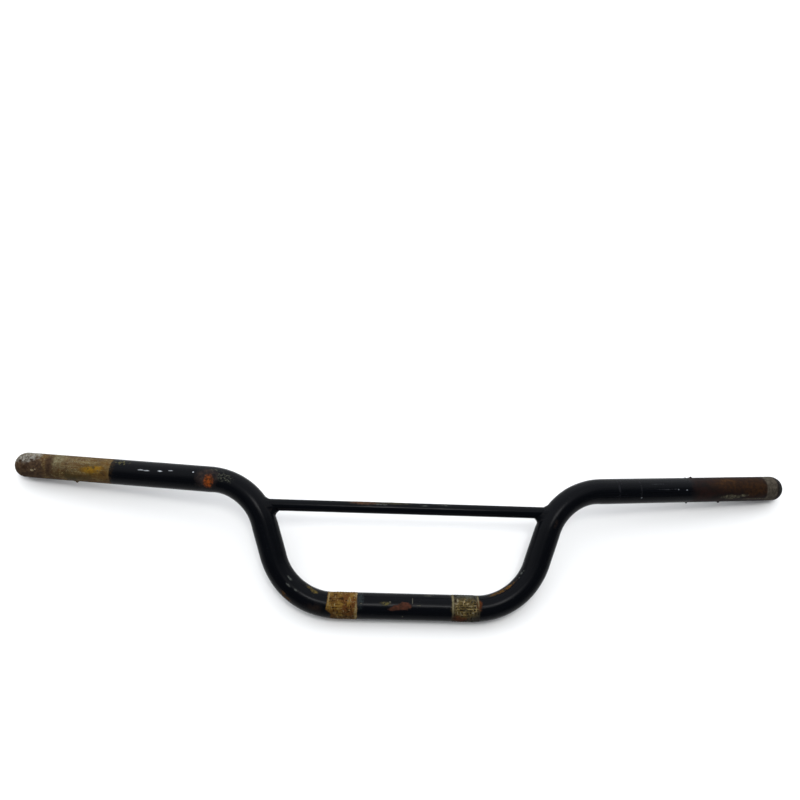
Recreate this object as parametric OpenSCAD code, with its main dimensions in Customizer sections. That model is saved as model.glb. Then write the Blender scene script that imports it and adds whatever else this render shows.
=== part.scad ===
// Riser handlebar with a welded crossbar.
// The bar lies on a flat surface, its clamp section along X and its grips towards +Y.
// The origin is on the tube's axis, in the middle of the clamp section. Millimetres.

/* [Tube] */
// Outside diameter of the main tube
tube_d = 22.2; // [19:0.1:25.4]
// Wall thickness of the main tube
tube_wall = 2; // [1:0.1:3]

/* [Bends] */
// How much the tube's diameter draws down in a bend
bend_draw = 0.04; // [0.02:0.01:0.2]
// Distance between the corners where the clamp section's centreline meets the risers'
clamp_span = 199; // [150:1:260]
// Length of each riser's centreline, from its lower corner to its upper corner
riser_len = 106; // [88:1:160]
// Angle between the clamp section and each riser, in degrees
riser_angle = 71.7; // [50:0.1:80]
// Centreline radius of the two lower bends
lower_bend_r = 56; // [40:1:68]
// Centreline radius of the two upper bends
upper_bend_r = 52.5; // [40:0.5:64]

/* [Grips] */
// Length of each grip's centreline, from its corner with the riser to the start of the round end
grip_len = 211; // [140:1:270]
// Angle at which each grip rises, in the plane of the risers, in degrees
grip_upsweep = 2.8; // [0:0.1:12]
// Angle at which each grip leaves the plane of the risers, towards the rider, in degrees
grip_backsweep = 11.2; // [4:0.1:20]

/* [Knurled clamp bands] */
// Clear distance between the two bands
knurl_gap = 80; // [30:1:90]
// Length of each band
knurl_len = 18.5; // [8:0.5:19]
// How far the rolled crests stand above the tube
knurl_raise = 0.2; // [0.16:0.01:0.3]

/* [Crossbar] */
// Diameter of the crossbar
crossbar_d = 10; // [6:0.5:13]
// How far the crossbar's centreline is below the risers' upper corners, in the plane of the risers
crossbar_drop = 18.2; // [12:0.2:34]

/* [Welds] */
// How far each weld bead stands out from the crossbar's surface
weld_leg = 2.5; // [1:0.1:4]
// How far each bead's middle sags below the crossbar's centreline
weld_sag = 1.5; // [0:0.1:2]

/* [Hidden] */
$fn = 96;
paint = "#17181b";
bare_weld = "#232426";

// Directions in the plane of the risers: X along the clamp section, Y up the risers, Z out of the plane
clamp_dir = [1, 0, 0];
riser_dir = [cos(riser_angle), sin(riser_angle), 0];
grip_dir = [
    cos(grip_backsweep) * cos(grip_upsweep),
    cos(grip_backsweep) * sin(grip_upsweep),
    -sin(grip_backsweep)
];

// Corners of the right half's centreline
lower_corner = [clamp_span / 2, 0, 0];
upper_corner = lower_corner + riser_len * riser_dir;
grip_end = upper_corner + grip_len * grip_dir;

// Bend angles, and the length that each bend takes from the straights on both sides of it
lower_turn = acos(clamp_dir * riser_dir);
upper_turn = acos(riser_dir * grip_dir);
lower_take = lower_bend_r * tan(lower_turn / 2);
upper_take = upper_bend_r * tan(upper_turn / 2);

// Straight lengths between the bends, and how far each straight laps into the bend beside it
clamp_half = lower_corner[0] - lower_take;
riser_straight = riser_len - lower_take - upper_take;
grip_straight = grip_len - upper_take;
lap = 0.5;

// The risers lean back until the clamp section and both closed ends touch the same flat surface
lean = atan2(-grip_end[2], grip_end[1]);

// The crossbar's centreline meets the tube's centreline a little way into the upper bend
crossbar_rise = upper_corner[1] - crossbar_drop;
along_riser = crossbar_drop / sin(riser_angle);
into_bend = max(0, upper_take - along_riser);
joint_turn = asin(into_bend / upper_bend_r);
bend_shift = upper_bend_r * (1 - cos(joint_turn)) / sin(riser_angle);
crossbar_half = upper_corner[0] - along_riser * cos(riser_angle) + bend_shift;
weld_x = crossbar_half - tube_d / 2 / sin(riser_angle - joint_turn);

// Leans the risers' plane back from flat
module leaned() {
    rotate([lean, 0, 0]) children();
}

// A straight length of round bar of diameter d from a point along a direction
module straight(from, dir, len, d) {
    translate(from) rotate([0, acos(dir[2]), atan2(dir[1], dir[0])]) cylinder(h = len, d = d);
}

// The same, with a half-round closed end beyond its length
module closed_straight(from, dir, len, d) {
    translate(from) rotate([0, acos(dir[2]), atan2(dir[1], dir[0])]) rotate_extrude() {
        square([d / 2, len]);
        intersection() {
            translate([0, len]) circle(d = d);
            translate([0, len]) square([d / 2, d / 2]);
        }
    }
}

// A bend of diameter d round a corner, from direction dir_in to direction dir_out
module bend(corner, dir_in, dir_out, r, d) {
    turn = acos(dir_in * dir_out);
    inward = (dir_out - dir_in * cos(turn)) / sin(turn);
    axis = cross(dir_in, inward);
    start = corner - dir_in * r * tan(turn / 2);
    centre = start + inward * r;
    multmatrix([
        [-inward[0], dir_in[0], axis[0], centre[0]],
        [-inward[1], dir_in[1], axis[1], centre[1]],
        [-inward[2], dir_in[2], axis[2], centre[2]],
        [0, 0, 0, 1]
    ]) rotate_extrude(angle = turn) translate([r, 0]) circle(d = d);
}

// The right arm of the bar, from the end of the clamp section to the closed end.
// Each straight runs a little way into the bends beside it.
module arm_run(d) {
    bend(lower_corner, clamp_dir, riser_dir, lower_bend_r, d - bend_draw);
    straight(lower_corner + (lower_take - lap) * riser_dir, riser_dir, riser_straight + 2 * lap, d);
    bend(upper_corner, riser_dir, grip_dir, upper_bend_r, d - bend_draw);
    closed_straight(upper_corner + (upper_take - lap) * grip_dir, grip_dir, grip_straight + lap, d);
}

// The whole run of the bar, as a solid of diameter d
module full_run(d) {
    straight([-clamp_half - lap, 0, 0], clamp_dir, 2 * (clamp_half + lap), d);
    arm_run(d);
    mirror([1, 0, 0]) arm_run(d);
}

// One knurled band, on the right
module knurl_band() {
    straight([knurl_gap / 2, 0, 0], clamp_dir, knurl_len, tube_d + 2 * knurl_raise);
}

// The crossbar before its ends are shaped to the tube
module crossbar_rod() {
    straight([-crossbar_half, crossbar_rise, 0], clamp_dir, 2 * crossbar_half, crossbar_d);
}

// The weld bead round the crossbar's right end
module weld_bead() {
    difference() {
        translate([weld_x, crossbar_rise - weld_sag, 0]) sphere(d = crossbar_d + 2 * weld_leg);
        full_run(tube_d);
        crossbar_rod();
    }
}

module main_tube() {
    color(paint) leaned() difference() {
        union() {
            full_run(tube_d);
            knurl_band();
            mirror([1, 0, 0]) knurl_band();
        }
        full_run(tube_d - 2 * tube_wall);
    }
}

module crossbar() {
    color(paint) leaned() difference() {
        crossbar_rod();
        full_run(tube_d);
    }
}

module weld_left() {
    color(bare_weld) leaned() mirror([1, 0, 0]) weld_bead();
}

module weld_right() {
    color(bare_weld) leaned() weld_bead();
}

main_tube();
crossbar();
weld_left();
weld_right();
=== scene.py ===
import math
import bpy
import numpy as np
from mathutils import Matrix, Vector, noise


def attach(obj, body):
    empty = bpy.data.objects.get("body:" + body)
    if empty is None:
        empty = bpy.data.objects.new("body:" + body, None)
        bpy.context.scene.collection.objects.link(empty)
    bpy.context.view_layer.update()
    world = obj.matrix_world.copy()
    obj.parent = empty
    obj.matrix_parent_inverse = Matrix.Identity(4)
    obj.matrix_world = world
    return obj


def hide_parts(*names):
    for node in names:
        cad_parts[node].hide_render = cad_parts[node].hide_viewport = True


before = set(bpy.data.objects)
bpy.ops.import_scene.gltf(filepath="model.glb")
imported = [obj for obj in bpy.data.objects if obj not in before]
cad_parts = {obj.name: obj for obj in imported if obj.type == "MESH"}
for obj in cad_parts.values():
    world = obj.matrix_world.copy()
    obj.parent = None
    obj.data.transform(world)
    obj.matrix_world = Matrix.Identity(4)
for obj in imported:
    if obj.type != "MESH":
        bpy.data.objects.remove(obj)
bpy.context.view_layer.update()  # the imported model, a fixed frame in metres


# camera: over the near side of the bar, looking down at it

camera = {
    "place": (-0.0385, -0.1545, 0.6820),  # metres
    "right": (0.99848, 0.01298, 0.05362),
    "up": (-0.03607, 0.88902, 0.45645),
    "lens": 36.0,  # mm
    "sensor": 36.0,
    "nearest": 0.01,  # what is nearer or farther isn't drawn, metres
    "farthest": 50.0,
}


def makeCamera(c):
    data = bpy.data.cameras.new("camera")
    data.lens = c["lens"]
    data.sensor_width = c["sensor"]
    data.clip_start = c["nearest"]
    data.clip_end = c["farthest"]
    made = bpy.data.objects.new("camera", data)
    bpy.context.scene.collection.objects.link(made)
    right = Vector(c["right"]).normalized()
    back = right.cross(Vector(c["up"])).normalized()
    up = back.cross(right)
    turned = Matrix((right, up, back)).transposed().to_4x4()
    made.matrix_world = Matrix.Translation(c["place"]) @ turned
    return made


bpy.context.scene.camera = makeCamera(camera)
print("camera placed")


# small tools

mm = 0.001  # one millimetre in metres


def hexColour(code):  # sRGB hex to linear RGBA
    levels = [int(code[i : i + 2], 16) / 255 for i in (1, 3, 5)]
    return [v / 12.92 if v <= 0.04045 else ((v + 0.055) / 1.055) ** 2.4 for v in levels] + [1]


def addNode(tree, kind, settings=None, links=None):  # a node, its settings and what feeds it
    made = tree.nodes.new(kind)
    for key, value in (settings or {}).items():
        if isinstance(key, str) and hasattr(made, key):
            setattr(made, key, value)
        else:
            made.inputs[key].default_value = value
    for key, source in (links or {}).items():
        tree.links.new(source, made.inputs[key])
    return made


def unit(v):
    v = np.asarray(v, float)
    return v / np.linalg.norm(v)


def smooth(x):  # 0 to 1 with soft ends
    x = np.clip(x, 0, 1)
    return x * x * (3 - 2 * x)


def roughAt(points, feature, depth=3):  # fractal noise of about -1 to 1; points and feature size in mm
    return np.array([noise.fractal(Vector(p / feature), 1.0, 2.0, depth) for p in points])


# the bar's run, the same sizes as the CAD, in millimetres and degrees

bar = {
    "tubeRadius": 11.1,
    "clampSpan": 199.0,
    "riserLength": 106.0,
    "riserAngle": 71.7,
    "lowerBendRadius": 56.0,
    "upperBendRadius": 52.5,
    "gripLength": 211.0,
    "gripUpsweep": 2.8,
    "gripBacksweep": 11.2,
    "crossbarRadius": 5.0,
    "crossbarDrop": 18.2,
    "lowerFlattening": 0.040,  # how much a bend flattens the tube
    "upperFlattening": 0.046,
    "flatteningLead": 6.0,  # it is this far under way when the bend starts
    "flatteningGrows": 22.0,  # and takes this long to reach its full amount
    "widening": 0.2,  # the share of it that the tube widens the other way
}

riserTilt = math.radians(bar["riserAngle"])
gripUp = math.radians(bar["gripUpsweep"])
gripBack = math.radians(bar["gripBacksweep"])
clampDir = np.array([1.0, 0.0, 0.0])
riserDir = np.array([math.cos(riserTilt), math.sin(riserTilt), 0.0])
gripDir = np.array([
    math.cos(gripBack) * math.cos(gripUp),
    math.cos(gripBack) * math.sin(gripUp),
    -math.sin(gripBack),
])
lowerCorner = clampDir * bar["clampSpan"] / 2
upperCorner = lowerCorner + riserDir * bar["riserLength"]
gripEnd = upperCorner + gripDir * bar["gripLength"]
lean = math.atan2(-gripEnd[2], gripEnd[1])
lowerTurn = math.acos(clampDir @ riserDir)
upperTurn = math.acos(riserDir @ gripDir)
lowerTake = bar["lowerBendRadius"] * math.tan(lowerTurn / 2)
upperTake = bar["upperBendRadius"] * math.tan(upperTurn / 2)
endClamp = bar["clampSpan"] / 2 - lowerTake  # run from the middle to each change of the line
endLowerBend = endClamp + bar["lowerBendRadius"] * lowerTurn
endRiser = endLowerBend + bar["riserLength"] - lowerTake - upperTake
endUpperBend = endRiser + bar["upperBendRadius"] * upperTurn
endGrip = endUpperBend + bar["gripLength"] - upperTake
tubeRadius = bar["tubeRadius"]
crossbarRise = upperCorner[1] - bar["crossbarDrop"]


def onFloor(v):  # from the plane of the risers to the leaning bar on the floor
    x, y, z = v
    return np.array([
        x,
        y * math.cos(lean) - z * math.sin(lean),
        y * math.sin(lean) + z * math.cos(lean),
    ])


def bendAt(run, start, corner, before, after, radius, take, turn, flattening):
    inward = unit(after - before * (before @ after))
    centre = corner - before * take + inward * radius
    a = (run - start) / radius
    point = centre - inward * radius * math.cos(a) + before * radius * math.sin(a)
    along = before * math.cos(a) + inward * math.sin(a)
    toMiddle = inward * math.cos(a) - before * math.sin(a)
    left = min(run - start, radius * turn - (run - start))
    grown = float(smooth((left + bar["flatteningLead"]) / bar["flatteningGrows"]))
    return point, along, toMiddle, flattening * grown


def rightHalfAt(run):  # centre, direction, the bend's inward direction and its flattening
    none = np.array([0.0, 1.0, 0.0])
    if run <= endClamp:
        return clampDir * run, clampDir, none, 0.0
    if run <= endLowerBend:
        return bendAt(run, endClamp, lowerCorner, clampDir, riserDir, bar["lowerBendRadius"],
                      lowerTake, lowerTurn, bar["lowerFlattening"])
    if run <= endRiser:
        return lowerCorner + riserDir * (lowerTake + run - endLowerBend), riserDir, none, 0.0
    if run <= endUpperBend:
        return bendAt(run, endRiser, upperCorner, riserDir, gripDir, bar["upperBendRadius"],
                      upperTake, upperTurn, bar["upperFlattening"])
    return upperCorner + gripDir * (upperTake + run - endUpperBend), gripDir, none, 0.0


def tubeAt(run):  # the same on the floor, with the ring's up and side; the left half has negative runs
    point, along, inward, flat = rightHalfAt(abs(run))
    point, along, inward = onFloor(point), onFloor(along), onFloor(inward)
    if run < 0:
        point = point * [-1, 1, 1]
        along = along * [1, -1, -1]
        inward = inward * [-1, 1, 1]
    up = unit(np.array([0, 0, 1.0]) - along * along[2])
    return point, along, up, np.cross(along, up), inward, flat


def gridPiece(name, points, runs, arcs, capStart, capEnd):
    # rings of points joined into one skin and closed by a tip at each end, with the tip's own run.
    # arcs has one more value than a ring has points
    rings, around = points.shape[:2]
    corners = points.reshape(-1, 3).tolist()
    faces, places = [], []
    for i in range(rings - 1):
        for j in range(around):
            k = (j + 1) % around
            faces.append((i * around + j, i * around + k, (i + 1) * around + k, (i + 1) * around + j))
            places += [(runs[i], arcs[j]), (runs[i], arcs[j + 1])]
            places += [(runs[i + 1], arcs[j + 1]), (runs[i + 1], arcs[j])]
    for cap, ring, flip in ((capStart, 0, True), (capEnd, rings - 1, False)):
        tip, tipRun = cap
        corners.append(list(tip))
        for j in range(around):
            k = (j + 1) % around
            a, b = (k, j) if flip else (j, k)
            aj, bj = (j + 1, j) if flip else (j, j + 1)
            faces.append((ring * around + a, ring * around + b, len(corners) - 1))
            places += [(runs[ring], arcs[aj]), (runs[ring], arcs[bj]), (tipRun, (arcs[aj] + arcs[bj]) / 2)]
    return skin(name, corners, faces, places)


def skin(name, corners, faces, places):
    mesh = bpy.data.meshes.new(name)
    mesh.from_pydata(corners, [], faces)
    mesh.polygons.foreach_set("use_smooth", [True] * len(mesh.polygons))
    layer = mesh.uv_layers.new(name="alongBar")  # metres along the piece and round it
    layer.data.foreach_set("uv", np.array(places, np.float32).ravel())
    mesh.validate()
    mesh.update()
    made = bpy.data.objects.new(name, mesh)
    bpy.context.scene.collection.objects.link(made)
    return made


# main tube: one bent steel tube with knurled clamp bands and closed round ends

tube = {
    "around": 150,  # five points to a groove
    "steps": {"band": 0.34, "edge": 0.2, "lump": 0.4, "bare": 1.4, "plain": 2.0},  # between rings, mm
    "fineRoundBand": 1.0,  # how far the finer steps reach past each of these, mm
    "fineRoundEdge": 2.5,
    "fineRoundLump": 2.6,
    "leastStep": 0.05,
    "domeRings": 22,
    "tipInside": 0.05,  # the round ends' tips lie this much short, mm
    "bandStart": 40.0,  # the knurled bands, mm from the middle
    "bandEnd": 58.5,
    "bandFade": 0.7,
    "grooves": 30,  # round the tube, a pitch of 2.3 mm
    "crest": 0.20,  # the teeth, mm from the plain tube
    "valley": -0.04,
    "toothSteepness": 1.5,  # above 1 the teeth are square pads with flat worn tops
    "toothLeft": 0.72,  # how much of a tooth is left on average
    "toothWear": 0.28,  # and how much that varies
    "toothLeast": 0.25,
    "toothPatch": 4.0,  # patches of the same wear, mm
    "paintWave": (0.012, 7.0),  # slow waves in the brushed paint: height and length, mm
    "paintEdge": -313.0,  # where the left grip's paint stops
    "paintDepth": 0.12,
    "edgeFade": 0.35,
    "edgeWobbles": ((0.5, 3, 1), (0.35, 8, 0)),  # height in mm, times round, phase
    "leftCrust": (0.05, 5.0),  # height and feature, mm
    "leftGrit": (0.04, 1.6),
    "rustStart": 303.0,  # where the right grip's rust starts
    "rustGrows": 14.0,
    "rightCrust": (0.05, 3.2),
    "lumpSpread": 0.62,  # how much of a lump's width is its shoulder
    "gripPaintFrom": 190.0,  # beyond this run the grips have their own material
}
tubeLumps = [  # hard drips and grit: run in mm, degrees round from the top, width and height in mm
    (-347.6, 113, 1.9, 1.5),
    (312.9, -60, 1.8, 1.2),
    (308.4, 113, 1.3, 1.2),
    (341.5, 114, 1.5, 1.3),
    (-304.0, -24, 1.2, 0.25),
    (-299.0, -18, 1.0, 0.2),
    (307.0, -56, 1.2, 0.7),
]


def ringStep(run):  # finer rings where the surface has more on it
    steps = tube["steps"]
    spare = tube["fineRoundBand"]
    if tube["bandStart"] - spare < abs(run) < tube["bandEnd"] + spare:
        return steps["band"]
    if abs(run - tube["paintEdge"]) < tube["fineRoundEdge"]:
        return steps["edge"]
    if any(abs(run - lump[0]) < tube["fineRoundLump"] for lump in tubeLumps):
        return steps["lump"]
    bare = run < tube["paintEdge"] or run > tube["rustStart"]
    return steps["bare"] if bare else steps["plain"]


def knurlHeight(run, angle, points):
    fromStart = (abs(run) - tube["bandStart"]) / tube["bandFade"]
    fromEnd = (tube["bandEnd"] - abs(run)) / tube["bandFade"]
    inside = smooth(fromStart) * smooth(fromEnd)
    if inside <= 0:
        return np.zeros(len(angle))
    pitch = 2 * math.pi * tubeRadius / tube["grooves"]
    across = np.abs(np.sin(angle * tube["grooves"] / 2))
    along = abs(math.sin(math.pi * run / pitch))
    tooth = np.minimum(1, tube["toothSteepness"] * np.minimum(across, along))
    left = tube["toothLeft"] + tube["toothWear"] * roughAt(points, tube["toothPatch"])
    left = np.clip(left, tube["toothLeast"], 1)
    return inside * (tube["valley"] + (tube["crest"] - tube["valley"]) * tooth * left)


def surfaceHeight(run, angle, centre, radial):  # how far the skin stands off the plain tube, mm
    points = centre + radial * tubeRadius
    tall, feature = tube["paintWave"]
    paint = tall * roughAt(points, feature, 2)
    edge = np.full(len(angle), tube["paintEdge"])
    for wide, times, phase in tube["edgeWobbles"]:
        edge = edge + wide * np.sin(angle * times + phase)
    bare = smooth((edge - run) / tube["edgeFade"])
    height = paint * (1 - bare) - bare * tube["paintDepth"]
    if run < tube["paintEdge"] + tube["fineRoundEdge"]:
        tall, feature = tube["leftCrust"]
        grit, gritFeature = tube["leftGrit"]
        height = height + bare * tall * roughAt(points, feature, 4)
        height = height + bare * grit * np.maximum(0, roughAt(points, gritFeature, 2))
    if run > tube["rustStart"]:
        tall, feature = tube["rightCrust"]
        grown = smooth((run - tube["rustStart"]) / tube["rustGrows"])
        height = height + grown * tall * roughAt(points, feature, 4)
    height = height + knurlHeight(run, angle, points)
    for place, degrees, wide, tall in tubeLumps:
        if abs(run - place) < 3 * wide:
            off = (angle - math.radians(degrees) + math.pi) % (2 * math.pi) - math.pi
            away = (run - place) ** 2 + (off * tubeRadius) ** 2
            height = height + tall * np.exp(-away / (wide * tube["lumpSpread"]) ** 2)
    return height


def makeMainTube():
    angle = np.linspace(-math.pi, math.pi, tube["around"], endpoint=False)
    runs = [-endGrip]
    while runs[-1] < endGrip - tube["leastStep"]:
        runs.append(min(endGrip, runs[-1] + ringStep(runs[-1])))
    domeTurns = [math.pi / 2 * k / tube["domeRings"] for k in range(1, tube["domeRings"])]
    stations = [(-endGrip, -turn) for turn in reversed(domeTurns)]
    stations += [(run, 0) for run in runs]
    stations += [(endGrip, turn) for turn in domeTurns]
    rings, alongs = [], []
    for run, turn in stations:
        point, along, up, side, inward, flat = tubeAt(run)
        radial = np.outer(np.cos(angle), up) + np.outer(np.sin(angle), side)
        if turn:  # over the round end
            radial = radial * math.cos(turn) + along * math.sin(turn)
            run = run + turn * tubeRadius
        height = surfaceHeight(run, angle, point, radial)
        off = radial * (tubeRadius + height)[:, None]
        off = off - np.outer(off @ inward, inward) * flat
        level = np.cross(along, inward)
        off = off + np.outer(off @ level, level) * flat * bar["widening"]
        rings.append((point + off) * mm)
        alongs.append(run * mm)
    arcs = np.append(angle, math.pi) * tubeRadius * mm
    tips = []
    for sign in (-1, 1):
        point, along = tubeAt(sign * endGrip)[:2]
        tip = point + along * sign * (tubeRadius - tube["tipInside"])
        tips.append((tip * mm, sign * (endGrip + tubeRadius * math.pi / 2) * mm))
    return gridPiece("mainTube", np.array(rings), alongs, arcs, tips[0], tips[1])


mainTube = makeMainTube()
print("main tube made,", len(mainTube.data.polygons), "faces")


# crossbar: a thin round rod, its ends shaped to the risers

rod = {
    "around": 64,
    "rings": 170,
    "ringSpread": 1.08,  # above 1 the rings are closer together at the ends
    "bite": 0.25,  # how far its ends go into the tube, mm
    "searchFrom": 60.0,  # the riser's skin is looked for between these, mm from the middle
    "searchTo": 128.0,
    "halvings": 26,
    "lineBefore": 25.0,  # the riser's line is followed from this far before its straight
    "lineShort": 10.0,  # to this far short of the grip's
    "lineStep": 0.5,
    "paintWave": (0.012, 6.0),  # height and length, mm
    "rustMiddle": -26.0,  # a crust along the top
    "rustHalf": 26.0,
    "rustFade": 10.0,
    "rustTurn": 0.5,  # round from the top, and half its width, radians
    "rustWidth": 1.4,
    "rustCrust": (0.07, 3.0),
    "rustShare": 0.3,  # more of it stands up as this grows
}

riserLine = []  # the tube's middle line round the place where the crossbar meets it
for stop in np.arange(endLowerBend - rod["lineBefore"], endUpperBend - rod["lineShort"], rod["lineStep"]):
    centre, along, inward, flat = rightHalfAt(stop)
    riserLine.append((centre, inward, flat))


def meetTube(radius, turn):  # the x at which a line beside the rod's axis meets the right riser's skin
    y = crossbarRise + radius * np.cos(turn)
    z = radius * np.sin(turn)
    low = np.full(np.shape(turn), rod["searchFrom"])
    high = np.full(np.shape(turn), rod["searchTo"])
    for halving in range(rod["halvings"]):
        middle = (low + high) / 2
        spot = np.stack([middle, y, z], axis=-1)
        away = np.full(np.shape(turn), np.inf)
        for centre, inward, flat in riserLine:
            off = spot - centre
            across = off @ inward
            squashed = off + np.outer(across, inward) * (1 / (1 - flat) - 1)
            away = np.minimum(away, np.linalg.norm(squashed, axis=-1))
        inside = away < tubeRadius
        high = np.where(inside, middle, high)
        low = np.where(inside, low, middle)
    return (low + high) / 2


def rodSpots(x, radius, turn):  # points round the crossbar, before it leans
    return np.stack([x, radius * np.cos(turn), radius * np.sin(turn)], axis=-1)


def makeCrossbar():
    turn = np.linspace(-math.pi, math.pi, rod["around"], endpoint=False)
    ends = meetTube(bar["crossbarRadius"], turn) + rod["bite"]
    waveTall, waveFeature = rod["paintWave"]
    rustTall, rustFeature = rod["rustCrust"]
    rings, alongs = [], []
    for i in range(rod["rings"] + 1):
        share = 2 * i / rod["rings"] - 1
        share = math.copysign(1 - (1 - abs(share)) ** rod["ringSpread"], share)
        x = ends * share
        radius = np.full(len(turn), bar["crossbarRadius"])
        plain = rodSpots(x, radius, turn)
        radius = radius + waveTall * roughAt(plain, waveFeature, 2)
        rust = smooth((rod["rustHalf"] - np.abs(x - rod["rustMiddle"])) / rod["rustFade"])
        rust = rust * smooth(rod["rustWidth"] - np.abs(turn - rod["rustTurn"]))
        crust = np.maximum(0, roughAt(plain, rustFeature, 3) + rod["rustShare"])
        radius = radius + rust * rustTall * crust
        spots = rodSpots(x, radius, turn) + [0, crossbarRise, 0]
        rings.append([onFloor(p) * mm for p in spots])
        alongs.append(float(np.mean(x)) * mm)
    arcs = np.append(turn, math.pi) * bar["crossbarRadius"] * mm
    middle = float(meetTube(0.001, np.array([0.0]))[0]) + rod["bite"]  # on the rod's axis
    tips = [(onFloor((sign * middle, crossbarRise, 0)) * mm, sign * middle * mm) for sign in (-1, 1)]
    return gridPiece("crossbarRod", np.array(rings), alongs, arcs, tips[0], tips[1])


crossbar = makeCrossbar()
print("crossbar made")


# welds: a rippled bead round each end of the crossbar, with a fuller web underneath

bead = {
    "around": 120,
    "across": 12,
    "legTop": 2.4,  # how wide it is on the rod, mm
    "legUnder": 4.6,
    "underShape": 1.6,  # above 1 the wide part keeps to the underside
    "wobbles": ((0.22, 5, 1), (0.15, 9, 2)),  # height in mm, times round, phase
    "hollow": 1.9,  # above 1 the bead's face curves inwards
    "ripples": 22,
    "rippleHeight": 0.13,
    "rippleBow": 8.8,  # how much each ripple bows round the bead
    "rippleShape": 0.6,  # below 1 they stay tall right up to the toes
    "slant": 0.7,  # they stand out at about 45 degrees to the rod
    "toeDepth": 0.12,  # the toes sink this far into the rod and the tube, mm
    "rootDepth": 0.5,
    "grain": (0.4, 0.3),  # how far apart its points lie in the pattern, across and round, mm
}


def makeWeld(name, sign):
    turn = np.linspace(-math.pi, math.pi, bead["around"], endpoint=False)
    under = (0.5 - 0.5 * np.cos(turn)) ** bead["underShape"]
    leg = bead["legTop"] + (bead["legUnder"] - bead["legTop"]) * under
    for tall, times, phase in bead["wobbles"]:
        leg = leg + tall * np.sin(turn * times + phase * sign)
    rows = []
    for i in range(bead["across"] + 1):
        t = i / bead["across"]
        radius = bar["crossbarRadius"] + leg * t
        x = meetTube(radius, turn) - leg * (1 - t) ** bead["hollow"]
        ripple = np.abs(np.sin((turn * bead["ripples"] + bead["rippleBow"] * (t - 0.5) ** 2) / 2)) - 0.5
        bulge = bead["rippleHeight"] * ripple * math.sin(math.pi * t) ** bead["rippleShape"]
        x = x - bulge * bead["slant"]
        radius = radius + bulge * bead["slant"]
        if t == 0:
            radius = radius - bead["toeDepth"]
        if t == 1:
            x = x + bead["toeDepth"]
        rows.append(rodSpots(x, radius, turn))
    inner = meetTube(bar["crossbarRadius"], turn) + bead["rootDepth"]
    rows.append(rodSpots(inner, np.full(len(turn), bar["crossbarRadius"] - bead["rootDepth"]), turn))
    rows = np.array(rows) + [0, crossbarRise, 0]
    rows[..., 0] *= sign
    spots = np.array([[onFloor(p) * mm for p in row] for row in rows])
    count, around = spots.shape[:2]
    stepAcross, stepRound = bead["grain"]
    faces, places = [], []
    for i in range(count):
        for j in range(around):
            k = (j + 1) % around
            n = (i + 1) % count
            face = (i * around + j, n * around + j, n * around + k, i * around + k)
            where = [(i, j), (i + 1, j), (i + 1, j + 1), (i, j + 1)]
            if sign > 0:  # the right bead is the left one's mirror, so its faces turn round
                face, where = face[::-1], where[::-1]
            faces.append(face)
            places += [(a * stepAcross * mm, b * stepRound * mm) for a, b in where]
    return skin(name, spots.reshape(-1, 3).tolist(), faces, places)


weldLeft = makeWeld("weldLeft", -1)
weldRight = makeWeld("weldRight", 1)
print("welds made")


# black enamel brushed over mild steel: deep black with a narrow band of light, and long faint brush
# streaks. It is worn through to brown steel at the clamp bands and grips, where it is dull and rough.
# its specular is far under a real enamel's, which would look grey in so bright a room

enamel = {
    "paint": "#010203",
    "paintPale": "#05060a",
    "roughness": 0.23,
    "smoother": 0.10,  # along the brush streaks the roughness goes down and up by these
    "rougher": 0.12,
    "ior": 1.45,
    "specular": 0.045,
    "brushBump": (0.5, 0.1),  # strength, and height in mm
    "rustBump": (0.5, 0.3),
    "noises": {  # feature in mm, detail, roughness
        "tear": (3.0, 4.0, 0.65),  # torn edges of chips
        "grain": (0.9, 3.0, 0.6),  # rust grain is under 0.3 mm, drawn coarser so that it shows
        "blotch": (2.6, 4.0, 0.7),
        "stain": (7.0, 4.0, 0.65),
        "scuff": (1.6, 5.0, 0.75),
    },
    "drawn": {  # length along the piece, length round it, mm
        "brush": (32.0, 0.9),  # bristle marks are 0.2 mm apart, drawn coarser so that they show
        "axial": (5.6, 1.25),  # what is left of the knurl's teeth, worn flat in strokes
        "hoop": (1.35, 5.2),
    },
    "drawnDetail": 3.0,
    "drawnDistortion": 0.25,
    "tearReach": 2.4,  # the noise spans about 0.4, so this makes a mark's tear its full depth
    "toneFrom": 0.38,  # a layer goes from its first colour to its second between these
    "toneTo": 0.62,
}


def edgeOf(tree, look, place, ragged, mark):  # how much a mark covers, with a torn edge
    run, arc, halfRun, halfArc, tear, softness = mark
    least = min(halfRun, halfArc)
    local = addNode(tree, "ShaderNodeVectorMath", {
        "operation": "MULTIPLY_ADD",
        1: (1 / mm / halfRun, 1 / mm / halfArc, 0),
        2: (-run / halfRun, -arc / halfArc, 0),
    }, {0: place})
    away = addNode(tree, "ShaderNodeVectorMath", {"operation": "LENGTH"}, {0: local.outputs[0]})
    torn = addNode(tree, "ShaderNodeMath", {
        "operation": "MULTIPLY_ADD",
        1: look["tearReach"] * tear / least,
    }, {0: ragged, 2: away.outputs["Value"]})
    return addNode(tree, "ShaderNodeMapRange", {
        "interpolation_type": "SMOOTHSTEP",
        "From Min": 1 - softness / least,
        "From Max": 1 + softness / least,
        "To Min": 1.0,
        "To Max": 0.0,
    }, {"Value": torn.outputs[0]}).outputs[0]


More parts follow.
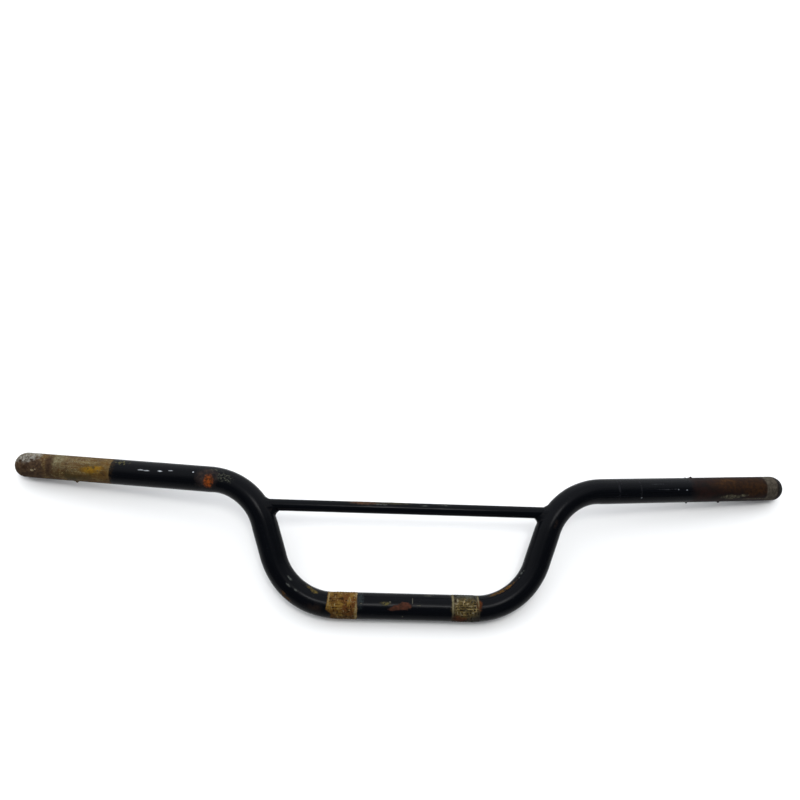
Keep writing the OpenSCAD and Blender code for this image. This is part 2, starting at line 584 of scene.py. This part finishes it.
def fieldsOf(tree, look, where, place):  # the patterns that break up the marks
    fields = {}
    for name, (feature, detail, rough) in look["noises"].items():
        fields[name] = addNode(tree, "ShaderNodeTexNoise", {
            "Scale": 1 / mm / feature,
            "Detail": detail,
            "Roughness": rough,
        }, {"Vector": where}).outputs[0]
    for name, (along, across) in look["drawn"].items():
        stretched = addNode(tree, "ShaderNodeVectorMath", {
            "operation": "MULTIPLY",
            1: (1 / mm / along, 1 / mm / across, 0),
        }, {0: place})
        fields[name] = addNode(tree, "ShaderNodeTexNoise", {
            "Scale": 1.0,
            "Detail": look["drawnDetail"],
            "Distortion": look["drawnDistortion"],
        }, {"Vector": stretched.outputs[0]}).outputs[0]
    # cuts are the worn knurl's dark strokes, high in this field, and rubbed its bright ones, low in this
    for name, pick in (("cuts", "MAXIMUM"), ("rubbed", "MINIMUM")):
        fields[name] = addNode(tree, "ShaderNodeMath", {
            "operation": pick,
        }, {0: fields["axial"], 1: fields["hoop"]}).outputs[0]
    return fields


def paintedSteel(name, look, layers):  # each layer lies over the ones before it
    material = bpy.data.materials.new(name)
    material.use_nodes = True
    tree = material.node_tree
    tree.nodes.clear()
    where = addNode(tree, "ShaderNodeTexCoord").outputs["Object"]
    place = addNode(tree, "ShaderNodeUVMap", {"uv_map": "alongBar"}).outputs[0]
    fields = fieldsOf(tree, look, where, place)
    ragged = addNode(tree, "ShaderNodeMath", {
        "operation": "SUBTRACT",
        1: 0.5,  # the noise's middle
    }, {0: fields["tear"]}).outputs[0]
    colour = addNode(tree, "ShaderNodeMix", {
        "data_type": "RGBA",
        6: hexColour(look["paint"]),
        7: hexColour(look["paintPale"]),
    }, {0: fields["brush"]}).outputs[2]
    rough = addNode(tree, "ShaderNodeMapRange", {
        "To Min": look["roughness"] - look["smoother"],
        "To Max": look["roughness"] + look["rougher"],
    }, {"Value": fields["brush"]}).outputs[0]
    metal = None  # only a material with bare steel in it has this
    lumps = None  # and only one with rust crust this
    for layer in layers:
        cover = None
        for mark in layer["marks"]:
            edge = edgeOf(tree, look, place, ragged, mark)
            cover = edge if cover is None else addNode(tree, "ShaderNodeMath", {
                "operation": "MAXIMUM",
            }, {0: cover, 1: edge}).outputs[0]
        if "through" in layer:  # shows only where a pattern lets it
            field, low, high = layer["through"]
            gaps = addNode(tree, "ShaderNodeMapRange", {
                "interpolation_type": "SMOOTHSTEP",
                "From Min": low,
                "From Max": high,
                "To Max": layer.get("amount", 1.0),
            }, {"Value": fields[field]}).outputs[0]
            cover = addNode(tree, "ShaderNodeMath", {
                "operation": "MULTIPLY",
            }, {0: cover, 1: gaps}).outputs[0]
        blotch = addNode(tree, "ShaderNodeMapRange", {
            "interpolation_type": "SMOOTHSTEP",
            "From Min": look["toneFrom"],
            "From Max": look["toneTo"],
        }, {"Value": fields[layer.get("blotch", "blotch")]}).outputs[0]
        tone = addNode(tree, "ShaderNodeMix", {
            "data_type": "RGBA",
            6: hexColour(layer["colours"][0]),
            7: hexColour(layer["colours"][1]),
        }, {0: blotch}).outputs[2]
        colour = addNode(tree, "ShaderNodeMix", {
            "data_type": "RGBA",
        }, {0: cover, 6: colour, 7: tone}).outputs[2]
        rough = addNode(tree, "ShaderNodeMix", {
            3: layer["roughness"],
        }, {0: cover, 2: rough}).outputs[0]
        if metal is not None or "metallic" in layer:
            metal = addNode(tree, "ShaderNodeMix", {
                2: 0.0,
                3: layer.get("metallic", 0.0),
            }, {0: cover} if metal is None else {0: cover, 2: metal}).outputs[0]
        if layer.get("crusty"):
            lumps = cover if lumps is None else addNode(tree, "ShaderNodeMath", {
                "operation": "MAXIMUM",
            }, {0: lumps, 1: cover}).outputs[0]
    strength, height = look["brushBump"]
    normal = addNode(tree, "ShaderNodeBump", {
        "Strength": strength,
        "Distance": height * mm,
    }, {"Height": fields["brush"]}).outputs[0]
    if lumps is not None:
        strength, height = look["rustBump"]
        crusted = addNode(tree, "ShaderNodeMath", {"operation": "MULTIPLY", 1: strength}, {0: lumps})
        normal = addNode(tree, "ShaderNodeBump", {
            "Distance": height * mm,
        }, {"Strength": crusted.outputs[0], "Height": fields["grain"], "Normal": normal}).outputs[0]
    shader = addNode(tree, "ShaderNodeBsdfPrincipled", {
        "IOR": look["ior"],
        "Specular IOR Level": look["specular"],
    }, {"Base Color": colour, "Roughness": rough, "Normal": normal})
    if metal is not None:
        tree.links.new(metal, shader.inputs["Metallic"])
    addNode(tree, "ShaderNodeOutputMaterial", {}, {"Surface": shader.outputs[0]})
    return material


# marks: run, arc round from the top, half length, half width, tear and softness of the edge, all in mm.
# a half width of 900 goes all the way round. A layer has two colours, and a pattern goes between them.
# through: it shows as a pattern rises from the first number to the second, or falls if the second is less

leftGripMarks = [
    {  # brown steel with the dried remains of an old grip
        "marks": [(-364.5, 0, 51.5, 900, 0.5, 0.4)],
        "colours": ("#4d3f24", "#352817"), "blotch": "stain", "roughness": 0.62, "metallic": 0.15,
        "crusty": True,
    },
    {  # specks of rust and of glue
        "marks": [(-365.5, 0, 51.5, 900, 0.5, 0.4)],
        "colours": ("#2d1a0b", "#40240f"), "through": ("scuff", 0.50, 0.57), "amount": 0.85,
        "roughness": 0.8,
    },
    {
        "marks": [(-365.5, -2, 51.5, 15, 2, 2)],
        "colours": ("#76694a", "#5d5340"), "through": ("scuff", 0.45, 0.39), "amount": 0.8,
        "roughness": 0.7,
    },
    {  # streaks rubbed along the bar
        "marks": [(-334, 0, 20, 900, 2, 4)],
        "colours": ("#33200d", "#43290f"), "through": ("brush", 0.53, 0.60), "amount": 0.8,
        "roughness": 0.7,
    },
    {
        "marks": [(-336, 0, 22, 900, 2, 4)],
        "colours": ("#6e6346", "#5a5036"), "through": ("brush", 0.45, 0.39), "amount": 0.6,
        "roughness": 0.65,
    },
    {  # olive oil stain
        "marks": [(-348, 13, 13, 6, 2, 4), (-330, 5, 8, 6, 2, 5)],
        "colours": ("#342a0d", "#241d0a"), "through": ("stain", 0.35, 0.55), "amount": 0.85,
        "roughness": 0.5,
    },
    {  # gold varnish
        "marks": [(-322, 1, 9, 13, 3, 6), (-334, 4, 9, 5, 2, 4)],
        "colours": ("#5d4412", "#3f2c0f"), "through": ("blotch", 0.42, 0.58), "amount": 0.8,
        "roughness": 0.5,
    },
    {
        "marks": [(-331, 4.5, 7, 2.6, 1.5, 2), (-324, 2.5, 4, 2.0, 1.5, 1.5)],
        "colours": ("#7a5a0e", "#5e430f"), "through": ("blotch", 0.34, 0.48), "amount": 0.85,
        "roughness": 0.45,
    },
    {  # dried grey glue, and rubbed pale streaks
        "marks": [(-363.5, -6, 6.0, 10, 2.5, 3.5)],
        "colours": ("#5e5944", "#423a26"), "through": ("scuff", 0.34, 0.50), "roughness": 0.75,
    },
    {
        "marks": [(-343, -3.5, 20, 4.5, 2.5, 2.5), (-349, 4, 9, 2.5, 2.0, 2.0)],
        "colours": ("#6a644e", "#57503c"), "through": ("scuff", 0.50, 0.58), "amount": 0.8,
        "roughness": 0.7,
    },
    {  # rust and grey scale on the round end
        "marks": [(-390, 8, 15, 15, 3, 3)],
        "colours": ("#3d2f21", "#281d15"), "roughness": 0.8, "crusty": True,
    },
    {
        "marks": [(-397, -7, 15.5, 9, 3, 1.5)],
        "colours": ("#73716a", "#48443c"), "through": ("scuff", 0.42, 0.50), "roughness": 0.7,
        "crusty": True,
    },
    {
        "marks": [(-370.5, 3, 3.6, 11, 1.6, 2.2)],
        "colours": ("#35281b", "#251910"), "roughness": 0.8, "crusty": True,
    },
    {
        "marks": [(-393.1, 6.4, 2.2, 1.6, 1, 0.6), (-398, 1, 1.6, 1.2, 1, 0.6),
                  (-388, -1, 1.8, 1, 1, 0.6)],
        "colours": ("#1c130c", "#2b1d12"), "roughness": 0.85,
    },
    {
        "marks": [(-385.6, 8.6, 1.6, 1.0, 0.8, 0.4), (-383.0, 7.6, 1.0, 0.6, 0.6, 0.4)],
        "colours": ("#7b7260", "#6a5f48"), "roughness": 0.8,
    },
    {  # flecks of old residue on the paint, beside its edge
        "marks": [(-303.0, -5.0, 6.5, 2.6, 1.8, 1.6)],
        "colours": ("#56532f", "#302d1d"), "through": ("tear", 0.50, 0.60), "roughness": 0.7,
        "crusty": True,
    },
    {  # pale scratches
        "marks": [(-283.8, 0.8, 2.4, 0.5, 0.4, 0.25), (-278.6, 1.0, 2.2, 0.4, 0.4, 0.25),
                  (-266.1, 0.5, 1.9, 0.5, 0.4, 0.25), (-256.8, -0.6, 1.7, 0.4, 0.4, 0.25),
                  (-236.3, -1.0, 0.6, 0.6, 0.2, 0.25)],
        "colours": ("#8d9194", "#6b6e70"), "roughness": 0.6,
    },
    {  # the rust patch at the start of the upper bend, dull brown round orange
        "marks": [(-223.5, 3.5, 8.5, 9, 3, 4)],
        "colours": ("#2a211d", "#191414"), "through": ("stain", 0.30, 0.55), "roughness": 0.7,
        "crusty": True,
    },
    {
        "marks": [(-221.5, 6.0, 4.0, 5.5, 2.2, 1.5)],
        "colours": ("#6e330f", "#301b0d"), "roughness": 0.85, "crusty": True,
    },
    {
        "marks": [(-208.5, -0.1, 5.5, 4, 2, 2), (-217.8, -5.6, 4.0, 1.5, 1.5, 1)],
        "colours": ("#3c3d33", "#2a2b25"), "through": ("scuff", 0.50, 0.58), "roughness": 0.7,
    },
]

clampMarks = [
    {  # left clamp band: golden brown rust over the whole knurl
        "marks": [(-53.2, 0, 12.8, 900, 1.1, 0.35)],
        "colours": ("#59431a", "#402a0e"), "blotch": "stain", "roughness": 0.66, "metallic": 0.12,
        "crusty": True,
    },
    {
        "marks": [(-47.0, 3, 5.5, 18, 2, 3)],
        "colours": ("#3d220d", "#4c3014"), "through": ("stain", 0.38, 0.55), "roughness": 0.75,
        "crusty": True,
    },
    {
        "marks": [(-53, 14, 12.2, 7, 2, 4)],
        "colours": ("#2c1e0a", "#211507"), "through": ("blotch", 0.35, 0.60), "amount": 0.8,
        "roughness": 0.75,
    },
    {
        "marks": [(-52.8, 0, 12.0, 900, 0.9, 0.5)],
        "colours": ("#1a1105", "#261505"), "through": ("cuts", 0.59, 0.64), "roughness": 0.85,
    },
    {
        "marks": [(-52.8, 0, 12.0, 900, 0.9, 0.5)],
        "colours": ("#74623c", "#66604a"), "through": ("rubbed", 0.375, 0.33), "amount": 0.7,
        "roughness": 0.55,
    },
    {  # the band's pale torn rim
        "marks": [(-64.8, -6, 0.7, 8, 0.6, 0.4), (-41.2, 9, 1.0, 9, 0.8, 0.4),
                  (-41.0, -9, 0.9, 5, 0.8, 0.4)],
        "colours": ("#6a6041", "#5d4d33"), "through": ("blotch", 0.36, 0.50), "roughness": 0.6,
    },
    {  # paint left on the band's lower left corner
        "marks": [(-67.0, 14, 5.4, 7.5, 1.4, 0.5)],
        "colours": ("#010203", "#05060a"), "roughness": 0.3,
    },
    {  # right clamp band: darker, with gold where the teeth are worn bright
        "marks": [(50.9, 0, 11.7, 900, 0.5, 0.4)],
        "colours": ("#27251d", "#1c1914"), "blotch": "stain", "roughness": 0.62, "metallic": 0.12,
        "crusty": True,
    },
    {
        "marks": [(51, -9, 10.5, 6, 2, 3)],
        "colours": ("#3b3d36", "#23231e"), "through": ("stain", 0.40, 0.58), "roughness": 0.6,
    },
    {
        "marks": [(47.0, 12.5, 6.5, 5.5, 2.4, 2.5)],
        "colours": ("#3a1d0e", "#23140b"), "through": ("stain", 0.34, 0.50), "roughness": 0.8,
        "crusty": True,
    },
    {
        "marks": [(50.9, 2, 10.6, 9, 1.5, 3)],
        "colours": ("#473a1a", "#38301a"), "through": ("blotch", 0.38, 0.52), "roughness": 0.6,
        "metallic": 0.2,
    },
    {
        "marks": [(50.9, 0, 11.2, 900, 0.9, 0.5)],
        "colours": ("#090705", "#140d08"), "through": ("cuts", 0.60, 0.64), "roughness": 0.85,
    },
    {
        "marks": [(50.9, 2.2, 10.4, 7.5, 1.5, 2.5)],
        "colours": ("#6f5f33", "#6b6355"), "through": ("rubbed", 0.40, 0.37), "amount": 0.9,
        "roughness": 0.45, "metallic": 0.3,
    },
    {
        "marks": [(62.6, -0.6, 2.2, 4.2, 1.2, 1.2)],
        "colours": ("#42220e", "#2e190b"), "roughness": 0.85, "crusty": True,
    },
    {
        "marks": [(40.2, -4, 0.9, 12, 0.3, 0.4), (61.9, -7, 0.7, 8, 0.3, 0.4)],
        "colours": ("#57503c", "#4a452f"), "roughness": 0.6,
    },
    {
        "marks": [(44.0, -4.0, 0.5, 1.6, 0.4, 0.3), (56.8, 6.2, 1.0, 0.6, 0.4, 0.3)],
        "colours": ("#5f5a48", "#4e493c"), "roughness": 0.6,
    },
    {  # paint rubbed thin beside the left band
        "marks": [(-37.8, -3, 2.6, 7, 1.8, 1.5)],
        "colours": ("#1f2526", "#14181a"), "through": ("scuff", 0.38, 0.52), "roughness": 0.5,
    },
    {  # the brown chip in the middle, with its tail
        "marks": [(-0.6, 1.8, 5.6, 3.1, 1.5, 0.5), (-6.5, 3.4, 4.5, 2.0, 1.2, 0.5),
                  (-10.6, 4.4, 3.6, 1.5, 1.0, 0.5)],
        "colours": ("#3b2118", "#281811"), "roughness": 0.8, "crusty": True,
    },
    {
        "marks": [(-16.8, 0.2, 3.4, 1.3, 1.5, 0.9)],
        "colours": ("#4f4826", "#312c1a"), "through": ("tear", 0.40, 0.52), "roughness": 0.7,
    },
    {
        "marks": [(-12.8, -1.2, 0.6, 0.5, 0.3, 0.25), (-37.0, 0.6, 0.8, 0.5, 0.4, 0.3),
                  (-2.0, 11.5, 0.5, 0.4, 0.3, 0.25),
                  (11.5, 1.2, 1.7, 0.4, 0.4, 0.25), (18.5, -8.8, 3.2, 0.4, 0.4, 0.3),
                  (6.0, -2.5, 0.35, 2.2, 0.3, 0.2)],
        "colours": ("#45443a", "#38372f"), "roughness": 0.7,
    },
]

bendMarks = [
    {  # rusty streaks inside the lower bends
        "marks": [(90.0, -9.3, 11.5, 1.7, 1.6, 0.8), (79.0, -8.8, 5.0, 1.1, 1.2, 0.8)],
        "colours": ("#4f3512", "#2b1f0d"), "through": ("scuff", 0.40, 0.48), "roughness": 0.75,
        "crusty": True,
    },
    {
        "marks": [(-80.0, -6.6, 3.6, 1.8, 1.5, 0.8), (-86.4, -8.4, 3.0, 1.3, 1.4, 0.8)],
        "colours": ("#4f4320", "#2e2714"), "through": ("scuff", 0.40, 0.50), "roughness": 0.75,
        "crusty": True,
    },
    {
        "marks": [(-97.1, 13.1, 4.0, 1.6, 1.4, 0.6), (-101.5, 10.8, 2.4, 1.3, 1.2, 0.6)],
        "colours": ("#402a12", "#241a0e"), "roughness": 0.8, "crusty": True,
    },
    {  # chips and rubbed places
        "marks": [(-106.3, -3.0, 2.4, 0.9, 1.0, 0.4), (-102.8, 2.2, 2.2, 0.7, 0.9, 0.4),
                  (-95.1, 1.1, 1.5, 0.5, 0.8, 0.4),
                  (115.4, -9.9, 1.5, 1.0, 0.9, 0.4), (118.8, -9.0, 0.8, 0.7, 0.6, 0.3),
                  (110.5, -8.6, 0.7, 0.6, 0.5, 0.3)],
        "colours": ("#3d403e", "#292a26"), "roughness": 0.7,
    },
    {
        "marks": [(-75.0, 8.0, 5.0, 3.0, 2.5, 3), (166.9, 3.7, 3.0, 1.4, 1.2, 1)],
        "colours": ("#0f0a09", "#17100c"), "through": ("stain", 0.35, 0.50), "roughness": 0.6,
    },
]

rightGripMarks = [
    {  # thin red-brown rust, orange along the top
        "marks": [(365.0, 0, 54.5, 900, 3.0, 5.0)],
        "colours": ("#170b09", "#0d0807"), "blotch": "stain", "roughness": 0.55, "crusty": True,
    },
    {
        "marks": [(352, -1.5, 20, 7, 3, 5), (374, 1, 14, 11, 3, 5)],
        "colours": ("#251609", "#170d07"), "roughness": 0.75, "crusty": True,
    },
    {
        "marks": [(345, -4, 8, 3, 2, 3)],
        "colours": ("#33200d", "#24150a"), "through": ("stain", 0.38, 0.55), "roughness": 0.75,
    },
    # pale grey streaks along the grip's lower side: a painted highlight line, broken up by the scuff
    # pattern
    {
        "marks": [(349.0, 11.5, 10.0, 2.2, 1.3, 0.8), (361.5, 10.2, 5.0, 1.2, 0.8, 0.5),
                  (374.0, 14.5, 12.0, 0.9, 0.6, 0.5)],
        "colours": ("#4b483a", "#2d2a22"), "through": ("scuff", 0.38, 0.52), "roughness": 0.7,
    },
    {  # grey glue round the end, and the dark end itself
        "marks": [(391.8, 2, 5.6, 900, 1.2, 1.0)],
        "colours": ("#3f3a32", "#2a2620"), "roughness": 0.75, "crusty": True,
    },
    {
        "marks": [(408.0, 0, 9.6, 900, 1.2, 0.9)],
        "colours": ("#0b0a09", "#1c1b19"), "roughness": 0.6, "crusty": True,
    },
    {  # rub marks round the grip
        "marks": [(236.7, 3, 0.9, 9, 0.8, 0.5), (257.9, 3, 0.6, 8, 0.6, 0.5),
                  (239.6, -6, 0.5, 3, 0.5, 0.4)],
        "colours": ("#191a1c", "#121316"), "through": ("blotch", 0.42, 0.58), "roughness": 0.6,
    },
    {
        "marks": [(283.0, 3.2, 7.0, 0.4, 0.6, 0.25), (276.0, -2.0, 5.0, 0.4, 0.6, 0.25)],
        "colours": ("#2b2d30", "#1c1d20"), "through": ("scuff", 0.44, 0.54), "roughness": 0.6,
    },
    {
        "marks": [(294.2, 3.4, 0.6, 0.6, 0.3, 0.25), (302.7, 4.0, 0.8, 0.5, 0.3, 0.25),
                  (258.4, 10.5, 0.7, 0.6, 0.3, 0.25)],
        "colours": ("#5d6266", "#44484b"), "roughness": 0.6,
    },
]

allOver = [  # fine dust and rub marks on the paint everywhere
    {
        "marks": [(0, 0, 1300, 900, 0, 1)],
        "colours": ("#1b1d1e", "#15161a"), "through": ("scuff", 0.60, 0.70), "amount": 0.55,
        "roughness": 0.6,
    },
]

rodMarks = [  # rust along the crossbar's top, and a painted highlight line beside it
    {
        "marks": [(-36, 2.6, 11, 2.4, 1.2, 1.2)],
        "colours": ("#4a3121", "#2d231b"), "through": ("blotch", 0.34, 0.48), "roughness": 0.8,
        "crusty": True,
    },
    {
        "marks": [(-14, 2.4, 14, 1.9, 1.2, 1.0)],
        "colours": ("#3e3825", "#26241c"), "through": ("blotch", 0.38, 0.52), "roughness": 0.75,
        "crusty": True,
    },
    # pale broken streaks beside the rust: a painted highlight line along the rod
    {
        "marks": [(-22, 4.6, 6, 0.6, 0.8, 0.3), (14, 4.8, 2.5, 0.5, 0.6, 0.3),
                  (31, 3.6, 4, 0.5, 0.6, 0.3)],
        "colours": ("#3f403d", "#2d2e2b"), "through": ("scuff", 0.44, 0.54), "roughness": 0.6,
    },
]

weldMarks = [  # a little rust in blotches over the beads
    {
        "marks": [(0, 0, 900, 900, 0, 1)],
        "colours": ("#1c1511", "#120f0d"), "through": ("blotch", 0.56, 0.66), "amount": 0.7,
        "roughness": 0.6,
    },
]


def paintTube(piece):  # the tube's middle and its two grips each have their own marks
    for name, marks in (
        ("brushedEnamelOnMiddle", clampMarks + bendMarks),
        ("brushedEnamelOnLeftGrip", leftGripMarks),
        ("brushedEnamelOnRightGrip", rightGripMarks),
    ):
        piece.data.materials.append(paintedSteel(name, enamel, allOver + marks))
    places = np.empty(len(piece.data.loops) * 2, np.float32)
    piece.data.uv_layers["alongBar"].data.foreach_get("uv", places)
    for face in piece.data.polygons:
        run = places[face.loop_start * 2] / mm
        if run < -tube["gripPaintFrom"]:
            face.material_index = 1
        elif run > tube["gripPaintFrom"]:
            face.material_index = 2


paintTube(mainTube)
rodEnamel = {**enamel, "roughness": 0.17}  # thinner, smoother paint
crossbar.data.materials.append(paintedSteel("brushedEnamelOnRod", rodEnamel, allOver + rodMarks))
weldPaint = paintedSteel("brushedEnamelOnWeld", enamel, weldMarks)
weldLeft.data.materials.append(weldPaint)
weldRight.data.materials.append(weldPaint)
print("materials made")


# floor and light: a soft bright room behind the bar, darker in front of it

stage = {
    "floorLevel": -0.0113,  # metres
    "floorSize": 80.0,
    "floorColour": "#dcdcda",
    "floorRoughness": 0.9,
    "brightFrom": (-0.20, 0.92, 0.34),  # the direction of the room's bright side
    "roomBright": 2.8,
    "roomDim": 0.42,
    "fadeFrom": -0.10,  # how far a direction faces the bright side where the room is dim, and where bright
    "fadeTo": 0.60,
    "roomColour": "#f4f6fb",
    "lampPlace": (0.08, 0.0, 2.0),
    "lampSize": 0.5,
    "lampPower": 14.0,  # watts
    "tones": "Standard",  # plain whites and deep blacks
}


def makeStage(s):
    mesh = bpy.data.meshes.new("floor")
    half = s["floorSize"] / 2
    corners = [(-half, -half, 0), (half, -half, 0), (half, half, 0), (-half, half, 0)]
    mesh.from_pydata(corners, [], [(0, 1, 2, 3)])
    floor = bpy.data.objects.new("floor", mesh)
    floor.location = (0, 0, s["floorLevel"])
    bpy.context.scene.collection.objects.link(floor)
    material = bpy.data.materials.new("mattWhitePaintedBoard")  # flat and white, with no shine
    material.use_nodes = True
    shader = material.node_tree.nodes["Principled BSDF"]
    shader.inputs["Base Color"].default_value = hexColour(s["floorColour"])
    shader.inputs["Roughness"].default_value = s["floorRoughness"]
    mesh.materials.append(material)
    light = bpy.data.lights.new("lamp", "AREA")
    light.shape = "DISK"
    light.size = s["lampSize"]
    light.energy = s["lampPower"]
    lamp = bpy.data.objects.new("lamp", light)
    lamp.location = s["lampPlace"]
    lamp.rotation_mode = "QUATERNION"
    lamp.rotation_quaternion = Vector(s["lampPlace"]).to_track_quat("Z", "Y")
    bpy.context.scene.collection.objects.link(lamp)
    world = bpy.data.worlds.new("room")
    world.use_nodes = True
    tree = world.node_tree
    background = tree.nodes["Background"]
    background.inputs["Color"].default_value = hexColour(s["roomColour"])
    direction = addNode(tree, "ShaderNodeTexCoord").outputs["Generated"]
    facing = addNode(tree, "ShaderNodeVectorMath", {
        "operation": "DOT_PRODUCT",
        1: s["brightFrom"],
    }, {0: direction})
    level = addNode(tree, "ShaderNodeMapRange", {
        "interpolation_type": "SMOOTHSTEP",
        "From Min": s["fadeFrom"],
        "From Max": s["fadeTo"],
        "To Min": s["roomDim"],
        "To Max": s["roomBright"],
    }, {"Value": facing.outputs["Value"]})
    tree.links.new(level.outputs[0], background.inputs["Strength"])
    bpy.context.scene.world = world
    bpy.context.scene.view_settings.view_transform = s["tones"]


makeStage(stage)
print("stage made")


# every piece rides on the bar's one body and stands for its CAD node

for piece, node, slotName in (
    (mainTube, "main_tube", "painted_tube"),
    (crossbar, "crossbar", "painted_crossbar"),
    (weldLeft, "weld_left", "painted_weld"),
    (weldRight, "weld_right", "painted_weld"),
):
    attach(piece, "root")
    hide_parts(node)
